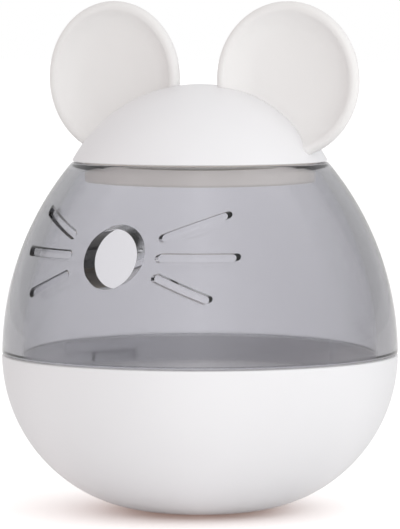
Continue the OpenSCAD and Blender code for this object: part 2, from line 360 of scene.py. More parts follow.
@dataclass(frozen=True)
class Silicone(Mottled):
    """Moulded silicone rubber: milky, soft and nearly matt, with light that soaks in."""

    name: str = "milky_silicone"
    light: str = "DCDBD6"
    deep: str = "CFCEC9"
    roughness: float = 0.55
    cloud_mm: float = 6.0
    soak: float = 0.3
    soak_mm: float = 1.2
    ior: float = 1.41

    def build(self) -> Material:
        """Make the material.

        Returns:
            The material.
        """
        material, tree = blank_material(self.name)
        _, colour = self.mottle(tree, "ShaderNodeTexNoise", self.cloud_mm, 2.0)
        shader = add_node(
            tree,
            "ShaderNodeBsdfPrincipled",
            {
                "Base Color": colour,
                "Roughness": self.roughness,
                "Subsurface Weight": self.soak,
                "Subsurface Radius": (1.0, 1.0, 1.0),
                "Subsurface Scale": self.soak_mm * MM,
                "IOR": self.ior,
            },
        )
        add_node(tree, "ShaderNodeOutputMaterial", {"Surface": shader.outputs["BSDF"]})
        return material


class Join(Enum):
    """Ways to combine two closed meshes."""

    ADD = "UNION"
    CUT = "DIFFERENCE"
    KEEP = "INTERSECT"


def everything(bm: BMesh) -> Geometry:
    """List all the points, edges and faces of a mesh."""
    return [*bm.verts, *bm.edges, *bm.faces]


def points_in(geometry: Geometry) -> list[BMVert]:
    """Pick the points out of some geometry."""
    return [part for part in geometry if isinstance(part, BMVert)]


def close_mesh(bm: BMesh) -> None:
    """Merge the points that meet, and turn the faces outwards."""
    bmesh.ops.remove_doubles(bm, verts=bm.verts, dist=WELD_MM)
    bmesh.ops.recalc_face_normals(bm, faces=bm.faces)


def sweep(bm: BMesh, geometry: Geometry, angle: float, steps: int, rise: float = 0.0) -> None:
    """Sweep geometry about the feeder's axis.

    Args:
        bm: Mesh that holds the geometry.
        geometry: What is swept.
        angle: Angle of the sweep in radians.
        steps: Steps in it.
        rise: Height gained in it.
    """
    bmesh.ops.spin(
        bm,
        geom=geometry,
        cent=(0, 0, 0),
        axis=(0, 0, 1),
        dvec=(0, 0, rise / steps),
        angle=angle,
        steps=steps,
        use_duplicate=False,
    )


def spin_round(bm: BMesh, outline: Geometry, segments: int) -> None:
    """Turn an outline once round the feeder's axis and close the mesh.

    A wedge is spun and then doubled until the turn is full, which is far quicker than one full spin.

    Args:
        bm: Mesh that holds the outline.
        outline: Its points and edges.
        segments: Steps in the full turn, a multiple of the number of wedges.
    """
    wedges = 2**DOUBLINGS
    wedge = 2 * math.pi / wedges
    sweep(bm, outline, wedge, segments // wedges)
    for doubling in range(DOUBLINGS):
        copy = bmesh.ops.duplicate(bm, geom=everything(bm))["geom"]
        turn = Matrix.Rotation(wedge * 2**doubling, 3, "Z")
        bmesh.ops.rotate(bm, verts=points_in(copy), matrix=turn)
    close_mesh(bm)


def swept(corners: list[Pair], angle: float, steps: int, start: float = 0.0, rise: float = 0.0) -> BMesh:
    """Sweep a flat outline part of the way, or several times, round the feeder's axis.

    Args:
        corners: Radius and height of each corner of the outline.
        angle: Angle of the sweep in radians.
        steps: Steps in it.
        start: Angle at which it starts, in radians.
        rise: Height gained in it.

    Returns:
        A closed mesh.
    """
    bm = bmesh.new()
    face = bm.faces.new([bm.verts.new((radius, 0, height)) for radius, height in corners])
    bmesh.ops.rotate(bm, verts=bm.verts, matrix=Matrix.Rotation(start, 3, "Z"))
    copy = bmesh.ops.duplicate(bm, geom=[face])["geom"]
    sweep(bm, [part for part in copy if isinstance(part, BMFace)], angle, steps, rise)
    close_mesh(bm)
    return bm


def ring_part(radii: Pair, heights: Pair, angles: Pair) -> BMesh:
    """Make a part of a ring of rectangular section about the feeder's axis.

    Args:
        radii: Inner and outer radius.
        heights: Low and high end.
        angles: First and last angle in degrees, in plan.

    Returns:
        A closed mesh.
    """
    inner, outer = radii
    low, high = heights
    corners = [(inner, low), (outer, low), (outer, high), (inner, high)]
    turn = angles[1] - angles[0]
    return swept(corners, math.radians(turn), math.ceil(turn / RING_STEP_DEG), math.radians(angles[0]))


@dataclass
class Section:
    """Half section of a turned piece: points of radius and height, in order."""

    points: list[Pair] = field(default_factory=list)

    def through(self, *corners: Pair) -> "Section":
        """Run straight through some corners."""
        self.points.extend(corners)
        return self

    def arc(self, centre: Pair, radius: float, start: float, end: float) -> "Section":
        """Run round an arc in short steps.

        Args:
            centre: Radius and height of the arc's centre.
            radius: Radius of the arc.
            start: Angle of its first point in degrees, 0 outwards and 90 up.
            end: Angle of its last point.

        Returns:
            The section itself.
        """
        turn = abs(end - start)
        by_length = math.ceil(math.radians(turn) * radius / ARC_STEP_MM)
        steps = max(math.ceil(turn / ARC_STEP_DEG), by_length, 1)
        for k in range(steps + 1):
            angle = math.radians(start + (end - start) * k / steps)
            self.points.append((centre[0] + radius * math.cos(angle), centre[1] + radius * math.sin(angle)))
        return self

    def turned(self, segments: int = TURN_STEPS) -> BMesh:
        """Spin the section about the feeder's axis.

        Args:
            segments: Steps in the full turn.

        Returns:
            A closed mesh; a section that doesn't start on the axis is closed to a ring first.
        """
        bm = bmesh.new()
        verts = [bm.verts.new((radius, 0, height)) for radius, height in self.points]
        bmesh.ops.remove_doubles(bm, verts=verts, dist=WELD_MM)
        verts = list(bm.verts)
        edges = [bm.edges.new(pair) for pair in zip(verts, verts[1:])]
        if verts[0].co.x > WELD_MM:
            edges.append(bm.edges.new((verts[-1], verts[0])))
        spin_round(bm, verts + edges, segments)
        return bm


def ring_edges(bm: BMesh, radius: float, height: float) -> list[BMEdge]:
    """Find the edges of a ring.

    Args:
        bm: Turned mesh.
        radius: Radius of the ring.
        height: Height of the ring.

    Returns:
        Edges with both ends on the ring.
    """

    def on_ring(point: Vector) -> bool:
        """Tell whether a point lies on the ring."""
        return abs(point.xy.length - radius) < ON_RING_MM and abs(point.z - height) < ON_RING_MM

    return [e for e in bm.edges if all(on_ring(v.co) for v in e.verts)]


def round_rings(bm: BMesh, size: float, *rings: Pair) -> None:
    """Round over rings of a turned mesh.

    Args:
        bm: Turned mesh.
        size: Width of the rounding on each face.
        *rings: Radius and height of each ring.
    """
    bmesh.ops.bevel(
        bm,
        geom=[edge for ring in rings for edge in ring_edges(bm, *ring)],
        offset=size,
        segments=ROUNDING_STEPS,
        profile=0.5,
        affect="EDGES",
        material=-1,
        clamp_overlap=True,
    )


def finish_mesh(bm: BMesh) -> None:
    """Smooth a mesh's shading but for its sharp edges.

    Args:
        bm: Mesh that gets its shading.
    """
    for face in bm.faces:
        face.smooth = True
    for edge in bm.edges:
        edge.smooth = edge.calc_face_angle(0.0) < math.radians(SHARP_DEG)


def make_object(name: str, bm: BMesh) -> Object:
    """Turn a mesh in millimetres into an object in metres, with its place in its mesh.

    Args:
        name: Name of the piece.
        bm: Mesh, which is freed.

    Returns:
        The linked object.
    """
    bmesh.ops.scale(bm, vec=(MM, MM, MM), verts=bm.verts)
    finish_mesh(bm)
    mesh = bpy.data.meshes.new(name)
    bm.to_mesh(mesh)
    bm.free()
    obj = bpy.data.objects.new(name, mesh)
    bpy.context.scene.collection.objects.link(obj)
    return obj


def gather(parts: Iterable[BMesh]) -> BMesh:
    """Put separate closed meshes into one.

    Args:
        parts: Meshes, which are freed.

    Returns:
        The one mesh.
    """
    whole = bmesh.new()
    for part in parts:
        mesh = bpy.data.meshes.new("part")
        part.to_mesh(mesh)
        part.free()
        whole.from_mesh(mesh)
        bpy.data.meshes.remove(mesh)
    return whole


def combine(obj: Object, tools: Iterable[BMesh], how: Join) -> None:
    """Add separate closed meshes to a piece, cut them out, or keep only what lies in them.

    Args:
        obj: Piece that changes.
        tools: Closed meshes in millimetres that don't touch each other, which are freed.
        how: What is done with the meshes.
    """
    other = make_object("tool", gather(tools))
    modifier = obj.modifiers.new("combine", "BOOLEAN")
    modifier.operation = how.value
    modifier.object = other
    modifier.solver = "MANIFOLD"
    graph = bpy.context.evaluated_depsgraph_get()
    shaped = bpy.data.meshes.new_from_object(obj.evaluated_get(graph))
    obj.modifiers.clear()
    old = obj.data
    obj.data = shaped
    shaped.name = obj.name
    bpy.data.meshes.remove(old)
    bpy.data.meshes.remove(other.data)
    bm = bmesh.new()
    bm.from_mesh(shaped)
    finish_mesh(bm)
    bm.to_mesh(shaped)
    bm.free()


def as_bmesh(obj: Object) -> BMesh:
    """Take a scratch object's mesh back, and remove the object.

    Args:
        obj: Scratch object.

    Returns:
        Its mesh in millimetres.
    """
    bm = bmesh.new()
    bm.from_mesh(obj.data)
    bmesh.ops.scale(bm, vec=(1 / MM, 1 / MM, 1 / MM), verts=bm.verts)
    bpy.data.meshes.remove(obj.data)
    return bm


def joined(first: BMesh, second: BMesh, how: Join) -> BMesh:
    """Combine two overlapping closed meshes into one.

    Args:
        first: Mesh that changes, which is freed.
        second: Mesh that it is combined with, which is freed.
        how: What is done with the second mesh.

    Returns:
        A closed mesh.
    """
    scratch = make_object("scratch", first)
    combine(scratch, [second], how)
    return as_bmesh(scratch)


def raised(bm: BMesh, place: Matrix, length: float) -> BMesh:
    """Give a flat outline a length along Z and move it to its place.

    Args:
        bm: Mesh with one flat face or more.
        place: Where the solid goes.
        length: Its length.

    Returns:
        The same mesh, closed.
    """
    ends = bmesh.ops.extrude_face_region(bm, geom=list(bm.faces), use_keep_orig=True)["geom"]
    bmesh.ops.translate(bm, verts=points_in(ends), vec=(0, 0, length))
    bmesh.ops.transform(bm, matrix=place, verts=bm.verts)
    bmesh.ops.recalc_face_normals(bm, faces=bm.faces)
    return bm


def post(place: Matrix, diameter: float, length: float, segments: int = 48) -> BMesh:
    """Make a round post that starts at the origin of a place and runs up its Z axis.

    Args:
        place: Where the post stands.
        diameter: Its diameter.
        length: Its length.
        segments: Faces round it.

    Returns:
        A closed mesh.
    """
    bm = bmesh.new()
    bmesh.ops.create_circle(bm, cap_ends=True, radius=diameter / 2, segments=segments)
    return raised(bm, place, length)


def bar(place: Matrix, width: float, thickness: float, length: float) -> BMesh:
    """Make a bar that starts at the origin of a place and runs up its Z axis.

    Args:
        place: Where the bar stands.
        width: Its size along X.
        thickness: Its size along Y.
        length: Its length.

    Returns:
        A closed mesh.
    """
    bm = bmesh.new()
    bmesh.ops.create_grid(bm, x_segments=1, y_segments=1, size=0.5)
    bmesh.ops.scale(bm, vec=(width, thickness, 1), verts=bm.verts)
    return raised(bm, place, length)


def around(count: int, start_deg: float, radius: float, height: float = 0.0) -> list[Matrix]:
    """List places on a circle, each with its X axis pointing outwards.

    Args:
        count: Number of places.
        start_deg: Angle of the first one.
        radius: Radius of the circle.
        height: Its height.

    Returns:
        A matrix for each place.
    """
    turns = [Matrix.Rotation(math.radians(start_deg + 360 * k / count), 4, "Z") for k in range(count)]
    return [turn @ Matrix.Translation((radius, 0, height)) for turn in turns]


def screw_ring(radius: float, height: float) -> list[Matrix]:
    """List the places of three screws on a circle, the first of them at the back."""
    return around(3, 90, radius, height)


def dress(obj: Object, material: Material) -> None:
    """Give a piece its one material.

    Args:
        obj: Piece.
        material: Its finish.
    """
    obj.data.materials.clear()
    obj.data.materials.append(material)


def node_box(node: str) -> tuple[Vector, Vector]:
    """Lowest and highest corner of a CAD node, in millimetres."""
    low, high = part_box(node)
    return low / MM, high / MM


@dataclass
class Finishes:
    """The feeder's materials, each made once."""

    white: Material
    ear: Material
    plug: Material
    smoke: Material
    zinc: Material
    iron: Material
    silicone: Material

    @classmethod
    def make(cls) -> "Finishes":
        """Build every finish.

        Returns:
            The finishes.
        """
        return cls(
            white=MouldedPlastic("white_moulded_abs", "F1F1F3", "EEEEF0", 0.36).build(),
            ear=MouldedPlastic("warm_white_moulded_pp", "F2F1F0", "EFEEED", 0.46, grain_mm=0.7).build(),
            # The plug's white is warmer and lighter than the dome's: painted warm light on a lit copy of the
            # same white.
            plug=MouldedPlastic("white_pp_painted_warm_light", "FAF5EF", "F7F1EA", 0.42).build(),
            smoke=SmokeClear().build(),
            zinc=ZincPlate().build(),
            iron=CastIron().build(),
            silicone=Silicone().build(),
        )


@dataclass(frozen=True)
class TwistLock:
    """Lugs on the hopper's spigot, which turn into channels in the bowl's rim."""

    count: int = 3
    first_deg: float = 30.0
    lug_deg: float = 16.0
    lug_h: float = 2.2
    twist_deg: float = 30.0

    def angles(self) -> list[float]:
        """List the angles of the shut lugs, in plan."""
        return [self.first_deg + 360 * k / self.count for k in range(self.count)]


@dataclass
class BowlBase:
    """White bowl with a round bottom, a small flat spot to stand on and a stepped rim."""

    radius: float
    height: float
    rock_r: float = 110.0
    foot_d: float = 16.0
    wall: float = 2.5
    rim_wall: float = 3.1
    ledge_z: float = 31.7
    rim_round: float = 0.45
    rib_count: int = 6
    rib_t: float = 2.0
    rib_reach: float = 4.0
    boss_d: float = 9.0
    boss_z: float = 8.5
    boss_pcd: float = 36.0
    pilot_d: float = 2.9
    pilot_sides: int = 24
    screw_bite: float = 4.5
    lock: TwistLock = TwistLock()
    lug_z: float = 34.6
    lug_r: float = 47.9
    fit_gap: float = 0.3
    end_slack_deg: float = 1.0
    way_slack_deg: float = 1.0
    way_step: float = 0.01
    bore_cut: float = 0.5

    @classmethod
    def from_frame(cls) -> "BowlBase":
        """Take the bowl's outside sizes from its CAD node."""
        _, high = node_box("base_bowl")
        return cls(radius=high.x, height=high.z)

    @property
    def rim_r(self) -> float:
        """Radius of the rim's bore."""
        return self.radius - self.rim_wall

    @property
    def rock_z(self) -> float:
        """Height of the centre of the round bottom."""
        return math.sqrt(self.rock_r**2 - (self.foot_d / 2) ** 2)

    @property
    def corner_r(self) -> float:
        """Radius of the arc that runs from the round bottom up to the rim."""
        drop = self.rock_z - self.height
        return (self.rock_r**2 - self.radius**2 - drop**2) / (2 * (self.rock_r - self.radius))

    @property
    def corner(self) -> Pair:
        """Centre of the arc that runs up to the rim."""
        return self.radius - self.corner_r, self.height

    @property
    def turn(self) -> float:
        """Angle at which the round bottom runs into the arc."""
        return math.degrees(math.atan2(self.height - self.rock_z, self.corner[0]))

    def inset_ends(self, inset: float) -> Pair:
        """Find where the outside, drawn in by an inset, ends.

        Args:
            inset: How far it is drawn in, which is also the height of its floor.

        Returns:
            The angle of the bottom's end on that floor, and the angle of the arc's end at the ledge.
        """
        foot = -90 + math.degrees(math.acos((self.rock_z - inset) / (self.rock_r - inset)))
        ledge = math.degrees(math.asin((self.ledge_z - self.height) / (self.corner_r - inset)))
        return foot, ledge

    def core(self) -> Section:
        """Draw the half section of a block that fills the bowl to its ledge and ends inside its wall.

        Returns:
            The section, from the middle of its foot to the middle of its top.
        """
        inset = self.wall / 2
        foot, ledge = self.inset_ends(inset)
        return (
            Section()
            .through((0, inset))
            .arc((0, self.rock_z), self.rock_r - inset, foot, self.turn)
            .arc(self.corner, self.corner_r - inset, self.turn, ledge)
            .through((0, self.ledge_z))
        )

    def section(self) -> Section:
        """Draw the bowl's half section: two tangent arcs outside, and the same drawn in by the wall inside.

        Returns:
            The section, from the middle of the foot up the outside and back down the inside.
        """
        foot = math.degrees(math.atan2(-self.rock_z, self.foot_d / 2))
        inside_foot, ledge = self.inset_ends(self.wall)
        return (
            Section()
            .through((0, 0))
            .arc((0, self.rock_z), self.rock_r, foot, self.turn)
            .arc(self.corner, self.corner_r, self.turn, 0)
            .through((self.rim_r, self.height), (self.rim_r, self.ledge_z))
            .arc(self.corner, self.corner_r - self.wall, ledge, self.turn)
            .arc((0, self.rock_z), self.rock_r - self.wall, self.turn, inside_foot)
            .through((0, self.wall))
        )

    def supports(self) -> BMesh:
        """Make the ribs that carry the hopper's floor and the bosses that carry the weight.

        Returns:
            A closed mesh for each, all in one.
        """
        deep = self.rib_reach + self.wall
        ribs = [
            bar(place, deep, self.rib_t, self.ledge_z)
            for place in around(self.rib_count, 0, self.rim_r - self.rib_reach + deep / 2)
        ]
        bosses = [post(place, self.boss_d, self.boss_z) for place in screw_ring(self.boss_pcd / 2, 0.0)]
        return joined(gather(ribs + bosses), self.core().turned(), Join.KEEP)

    def channels(self) -> Iterable[BMesh]:
        """Make cutters for the twist lock: a level channel for each lug, with an upright way in at its end.

        Yields:
            A closed mesh for each lug.
        """
        inner = self.rim_r - self.bore_cut
        outer = self.lug_r + self.fit_gap
        half = self.lock.lug_deg / 2 + self.end_slack_deg
        way = (self.lock.lug_deg + self.way_slack_deg) / 2
        low = self.lug_z - self.fit_gap
        high = self.lug_z + self.lock.lug_h + self.fit_gap
        way_radii = (inner, outer + self.way_step)
        way_heights = (low + self.fit_gap, self.height + OVERCUT)
        for start in self.lock.angles():
            end = start + self.lock.twist_deg
            yield joined(
                ring_part((inner, outer), (low, high), (start - half, end + half)),
                ring_part(way_radii, way_heights, (end - way, end + way)),
                Join.ADD,
            )

    def build(self, finishes: Finishes) -> Object:
        """Make the bowl, with its bosses, ribs and twist-lock channels.

        Args:
            finishes: The feeder's materials.

        Returns:
            The bowl.
        """
        bm = self.section().turned()
        round_rings(bm, self.rim_round, (self.radius, self.height), (self.rim_r, self.height))
        bowl = make_object("bowl", bm)
        combine(bowl, [self.supports()], Join.ADD)
        pilots = [
            post(place, self.pilot_d, self.screw_bite + OVERCUT, self.pilot_sides)
            for place in screw_ring(self.boss_pcd / 2, self.boss_z - self.screw_bite)
        ]
        combine(bowl, [*pilots, *self.channels()], Join.CUT)
        dress(bowl, finishes.white)
        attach(bowl, "base")
        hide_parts("base_bowl")
        return bowl


@dataclass
class Recess:
    """Cutter for a recess in the hopper's front: a mouth with a small bevel and upright walls."""

    width: float
    length: float
    depth: float
    bevel: float
    clear: float = 1.5
    slice_step: float = 0.8

    def cutter(self, place: Matrix, segments: int, surface: Callable[[float, float, float], float]) -> BMesh:
        """Build the cutter flat and bend it on to the hopper.

        Args:
            place: Moves the outline from the origin, where it lies along +X, to its place in the X-Z plane.
            segments: Points round the outline.
            surface: Gives Y at an X, a height and a depth below the hopper's outside.

        Returns:
            A closed mesh.
        """
        flare = self.bevel + self.clear
        bm = bmesh.new()
        bmesh.ops.create_circle(bm, cap_ends=True, radius=self.width / 2 + flare, segments=segments)
        bmesh.ops.rotate(bm, verts=bm.verts, matrix=Matrix.Rotation(math.pi / segments, 3, "Z"))
        far_half = [v for v in bm.verts if v.co.x > 0]
        bmesh.ops.translate(bm, verts=far_half, vec=(self.length - self.width, 0, 0))
        bmesh.ops.recalc_face_normals(bm, faces=bm.faces)
        floor = list(bm.faces)
        bmesh.ops.duplicate(bm, geom=everything(bm))
        bmesh.ops.inset_region(
            bm, faces=floor, thickness=flare, depth=0.0, use_boundary=True, use_even_offset=True
        )
        bmesh.ops.translate(bm, verts=self.corners(floor), vec=(0, 0, -flare))
        walls = bmesh.ops.extrude_face_region(bm, geom=floor)["geom"]
        bmesh.ops.delete(bm, geom=floor, context="FACES_ONLY")
        bmesh.ops.translate(bm, verts=points_in(walls), vec=(0, 0, self.bevel - self.depth))
        bmesh.ops.remove_doubles(bm, verts=bm.verts, dist=WELD_MM)
        self.slice_across(bm)
        bmesh.ops.recalc_face_normals(bm, faces=bm.faces)
        for vert in bm.verts:
            x, z = (place @ Vector((vert.co.x, vert.co.y, 0))).xy
            vert.co = (x, surface(x, z, -self.clear - vert.co.z), z)
        bmesh.ops.recalc_face_normals(bm, faces=bm.faces)
        return bm

    @staticmethod
    def corners(faces: Iterable[BMFace]) -> list[BMVert]:
        """List the corners of some faces once each."""
        return list({vert for face in faces for vert in face.verts})

    def slice_across(self, bm: BMesh) -> None:
        """Cut the long faces across so that they can follow the hopper's curve.

        Args:
            bm: The flat cutter.
        """
        count = int((self.length - self.width) / self.slice_step)
        for k in range(count + 1):
            bmesh.ops.bisect_plane(
                bm, geom=everything(bm), plane_co=(k * self.slice_step, 0, 0), plane_no=(1, 0, 0)
            )


@dataclass
class Hopper:
    """Thick smoke-tinted shell with the outlet, the whisker grooves, the neck and the twist-lock spigot."""

    radius: float
    seam_z: float
    spigot_z: float
    top_z: float
    outside_r: float = 75.0
    wall: float = 5.2
    inside_extra_r: float = 2.0
    neck_wall: float = 3.0
    neck_land: float = 2.4
    neck_slope: float = 0.8
    seam_gap: float = 0.3
    spigot_inset: float = 3.4
    edge_round: float = 0.4
    outlet_d: float = 14.5
    outlet_rise: float = 26.3
    outlet_bevel: float = 0.1
    outlet_sides: int = 128
    groove_w: float = 2.0
    groove_depth: float = 1.5
    groove_bevel: float = 0.06
    groove_lift: float = 0.5
    groove_start: float = 11.8
    groove_step: float = 4.4
    groove_fan: float = 23.5
    groove_long: float = 17.4
    groove_short: float = 14.6
    groove_sides: int = 32
    lock: TwistLock = TwistLock()
    lug_proud: float = 1.3
    lug_root: float = 1.0
    lug_lift: float = 0.6

    @classmethod
    def from_frame(cls) -> "Hopper":
        """Take the hopper's outside sizes from the CAD nodes.

        Returns:
            The hopper.
        """
        _, bowl_high = node_box("base_bowl")
        low, high = node_box("hopper_shell")
        return cls(radius=high.x, seam_z=bowl_high.z, spigot_z=low.z, top_z=high.z)

    @property
    def low_z(self) -> float:
        """Height of the outside's lower edge."""
        return self.seam_z + self.seam_gap

    @property
    def spigot_r(self) -> float:
        """Radius of the spigot."""
        return self.radius - self.spigot_inset

    def outside_at(self, height: float, depth: float = 0.0) -> float:
        """Radius of the outside, drawn in by a depth, at a height."""
        reach = (self.outside_r - depth) ** 2 - (height - self.seam_z) ** 2
        return self.radius - self.outside_r + math.sqrt(reach)

    def front(self, x: float, height: float, depth: float) -> float:
        """Y of the front surface, drawn in by a depth, at an X and a height."""
        return -math.sqrt(self.outside_at(height, depth) ** 2 - x**2)

    def section(self) -> Section:
        """Draw the shell's half section as a ring.

        Returns:
            The section, from the foot of the spigot up the outside and back down the inside.
        """
        neck_r = self.outside_at(self.top_z) - self.neck_wall
        neck_z = self.top_z - self.neck_land
        slope_z = neck_z - self.neck_slope
        inside_r = self.outside_r + self.inside_extra_r
        bore_r = self.radius - self.wall
        start = math.degrees(math.asin(self.seam_gap / self.outside_r))
        end = math.degrees(math.asin((self.top_z - self.seam_z) / self.outside_r))
        slope = math.degrees(math.asin((slope_z - self.seam_z) / inside_r))
        return (
            Section()
            .through((self.spigot_r, self.spigot_z), (self.spigot_r, self.low_z))
            .arc((self.radius - self.outside_r, self.seam_z), self.outside_r, start, end)
            .through((neck_r, self.top_z), (neck_r, neck_z))
            .arc((bore_r - inside_r, self.seam_z), inside_r, slope, 0)
            .through((bore_r, self.spigot_z))
        )

    def lug(self, angle: float) -> BMesh:
        """Make one lug of the twist lock, which reaches a little into the spigot.

        Args:
            angle: Angle of its middle in degrees, in plan.

        Returns:
            A closed mesh.
        """
        radii = (self.spigot_r - self.lug_root, self.spigot_r + self.lug_proud)
        half = self.lock.lug_deg / 2
        low = self.spigot_z + self.lug_lift
        return ring_part(radii, (low, low + self.lock.lug_h), (angle - half, angle + half))

    def grooves(self) -> Iterable[BMesh]:
        """Make the cutters for the whisker grooves, three to a side.

        Yields:
            A closed mesh for each groove.
        """
        middle_z = self.seam_z + self.outlet_rise + self.groove_lift
        along = Matrix.Translation((self.groove_w / 2, 0, 0))
        for side in (1, -1):
            for row in (-1, 0, 1):
                length = self.groove_short if row else self.groove_long
                middle = Vector((side * self.groove_start, middle_z + row * self.groove_step, 0))
                lean = math.radians(row * self.groove_fan)
                turn = lean if side > 0 else math.pi - lean
                place = Matrix.Translation(middle) @ Matrix.Rotation(turn, 4, "Z") @ along
                recess = Recess(self.groove_w, length, self.groove_depth, self.groove_bevel)
                yield recess.cutter(place, self.groove_sides, self.front)

    def outlet(self) -> BMesh:
        """Make the cutter for the outlet, right through the wall.

        Returns:
            A closed mesh.
        """
        place = Matrix.Translation((0, self.seam_z + self.outlet_rise, 0))
        recess = Recess(self.outlet_d, self.outlet_d, 2 * self.wall, self.outlet_bevel)
        return recess.cutter(place, self.outlet_sides, self.front)

    def build(self, finishes: Finishes) -> Object:
        """Make the shell, with its lugs, outlet and grooves.

        Args:
            finishes: The feeder's materials.

        Returns:
            The shell.
        """
        top_r = self.outside_at(self.top_z)
        bm = self.section().turned()
        round_rings(
            bm,
            self.edge_round,
            (self.outside_at(self.low_z), self.low_z),
            (top_r, self.top_z),
            (top_r - self.neck_wall, self.top_z),
        )
        shell = make_object("hopper", bm)
        combine(shell, [self.lug(angle) for angle in self.lock.angles()], Join.ADD)
        combine(shell, [self.outlet(), *self.grooves()], Join.CUT)
        dress(shell, finishes.smoke)
        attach(shell, "hopper")
        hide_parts("hopper_shell")
        return shell


class Side(Enum):
    """Side of the feeder, as the sign of X."""

    LEFT = -1
    RIGHT = 1


@dataclass
class LidDome:
    """White dome with slots for the ears, posts for the plug and a recess under its edge for the flange."""

    radius: float
    low_z: float
    top_z: float
    wall: float = 2.2
    flange_r: float = 30.2
    flange_t: float = 1.8
    edge_round: float = 0.4
    post_d: float = 6.4
    post_r: float = 19.99
    pilot_d: float = 2.9
    pilot_sides: int = 24
    screw_bite: float = 4.5
    pad_d: float = 16.0
    slot_gap: float = 0.1

    @classmethod
    def from_frame(cls) -> "LidDome":
        """Take the dome's outside sizes from its CAD node."""
        low, high = node_box("lid_dome")
        return cls(radius=high.x, low_z=low.z, top_z=high.z)

    @property
    def ball_r(self) -> float:
        """Radius of the ball that the dome is a cap of."""
        rise = self.top_z - self.low_z
        return (self.radius**2 + rise**2) / (2 * rise)

    @property
    def ball_z(self) -> float:
        """Height of the ball's centre."""
        return self.top_z - self.ball_r

    @property
    def ledge_z(self) -> float:
        """Height of the recess for the flange, and of the posts' feet."""
        return self.low_z + self.flange_t

    def ball(self, inset: float) -> BMesh:
        """Make the whole ball, drawn in by an inset."""
        return Section().arc((0, self.ball_z), self.ball_r - inset, 90, -90).turned()

    def inside(self, ears: Iterable["Ear"]) -> BMesh:
        """Make the posts for the plug and the pads round the ears' tongues, up to the middle of the wall.

        Args:
            ears: The ears that snap into the dome.

        Returns:
            A closed mesh for each, all in one.
        """
        places = screw_ring(self.post_r, self.ledge_z)
        posts = [post(place, self.post_d, self.top_z - self.low_z) for place in places]
        pads = [post(ear.tongue_place(), self.pad_d, ear.pad_end) for ear in ears]
        return joined(gather(posts + pads), self.ball(self.wall / 2), Join.KEEP)

    def section(self) -> Section:
        """Draw the dome's half section.

        Returns:
            The section, from its top down the outside and back up the inside.
        """
        centre = (0.0, self.ball_z)
        inside_r = self.ball_r - self.wall
        edge = math.degrees(math.asin((self.low_z - self.ball_z) / self.ball_r))
        ledge = math.degrees(math.asin((self.ledge_z - self.ball_z) / inside_r))
        return (
            Section()
            .arc(centre, self.ball_r, 90, edge)
            .through((self.flange_r, self.low_z), (self.flange_r, self.ledge_z))
            .arc(centre, inside_r, ledge, 90)
        )

    def build(self, finishes: Finishes) -> Object:
        """Make the dome, with its posts, pads and slots.

        Args:
            finishes: The feeder's materials.

        Returns:
            The dome.
        """
        ears = [Ear(side, self) for side in Side]
        bm = self.section().turned()
        round_rings(bm, self.edge_round, (self.radius, self.low_z))
        dome = make_object("dome", bm)
        combine(dome, [self.inside(ears)], Join.ADD)
        pilots = [
            post(place, self.pilot_d, self.screw_bite, self.pilot_sides)
            for place in screw_ring(self.post_r, self.ledge_z)
        ]
        gaps = 2 * self.slot_gap
        slots = [
            bar(ear.tongue_place(), ear.tongue_t + gaps, ear.tongue_w + gaps, ear.pad_end + OVERCUT)
            for ear in ears
        ]
        combine(dome, [*pilots, *slots], Join.CUT)
        dress(dome, finishes.white)
        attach(dome, "lid")
        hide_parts("lid_dome")
        return dome


